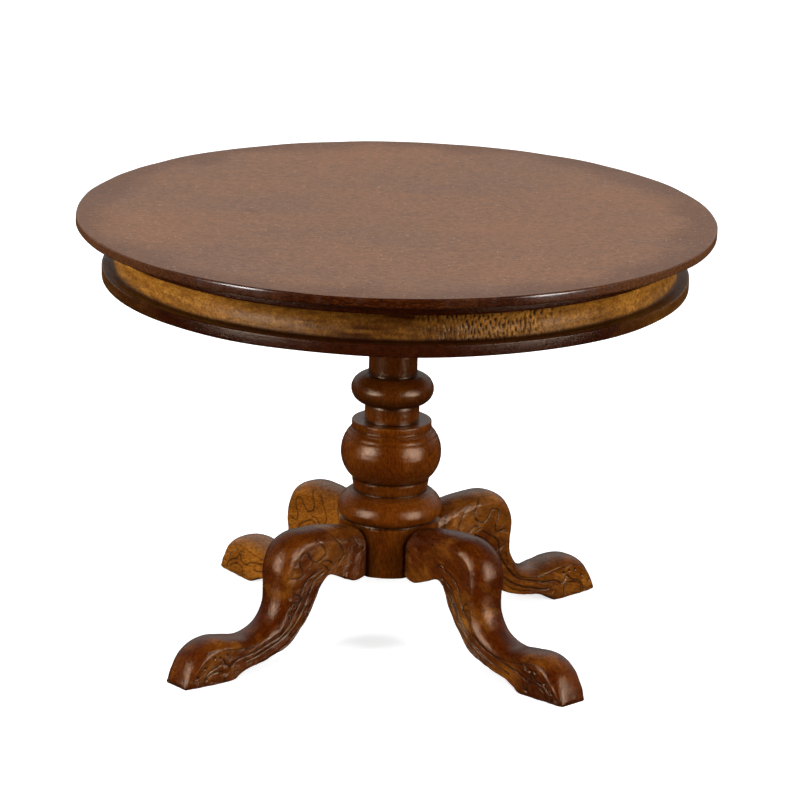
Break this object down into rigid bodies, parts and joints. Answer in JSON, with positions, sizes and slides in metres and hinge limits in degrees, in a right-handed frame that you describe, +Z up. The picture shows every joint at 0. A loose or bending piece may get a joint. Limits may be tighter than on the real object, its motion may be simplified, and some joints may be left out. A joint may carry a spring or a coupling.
{
  "type": "miniature dining table",
  "caption": "Dolls' house round pedestal dining table: round top on a moulded apron ring, turned column and four carved cabriole legs.",
  "frame": {"origin": "on the surface that the table stands on, under the middle of the round top", "axes": "+Z up along the column; the four legs stand near the diagonals between X and Y; the table has no front"},
  "size_m": [0.108, 0.108, 0.0746],
  "materials": {
    "top_finish": "satin",
    "apron_finish": "satin",
    "column_finish": "gloss",
    "leg_finish": "gloss",
    "bare_wood": "matte"
  },
  "bodies": {
    "root": {"top_board": "top_finish", "apron_ring": "apron_finish", "bearer_block": "bare_wood", "pedestal_column": "column_finish", "leg_back_right": "leg_finish", "leg_back_left": "leg_finish", "leg_front_left": "leg_finish", "leg_front_right": "leg_finish", "leg_dowel_back_right": "bare_wood", "leg_dowel_back_left": "bare_wood", "leg_dowel_front_left": "bare_wood", "leg_dowel_front_right": "bare_wood"}
  },
  "joints": []
}
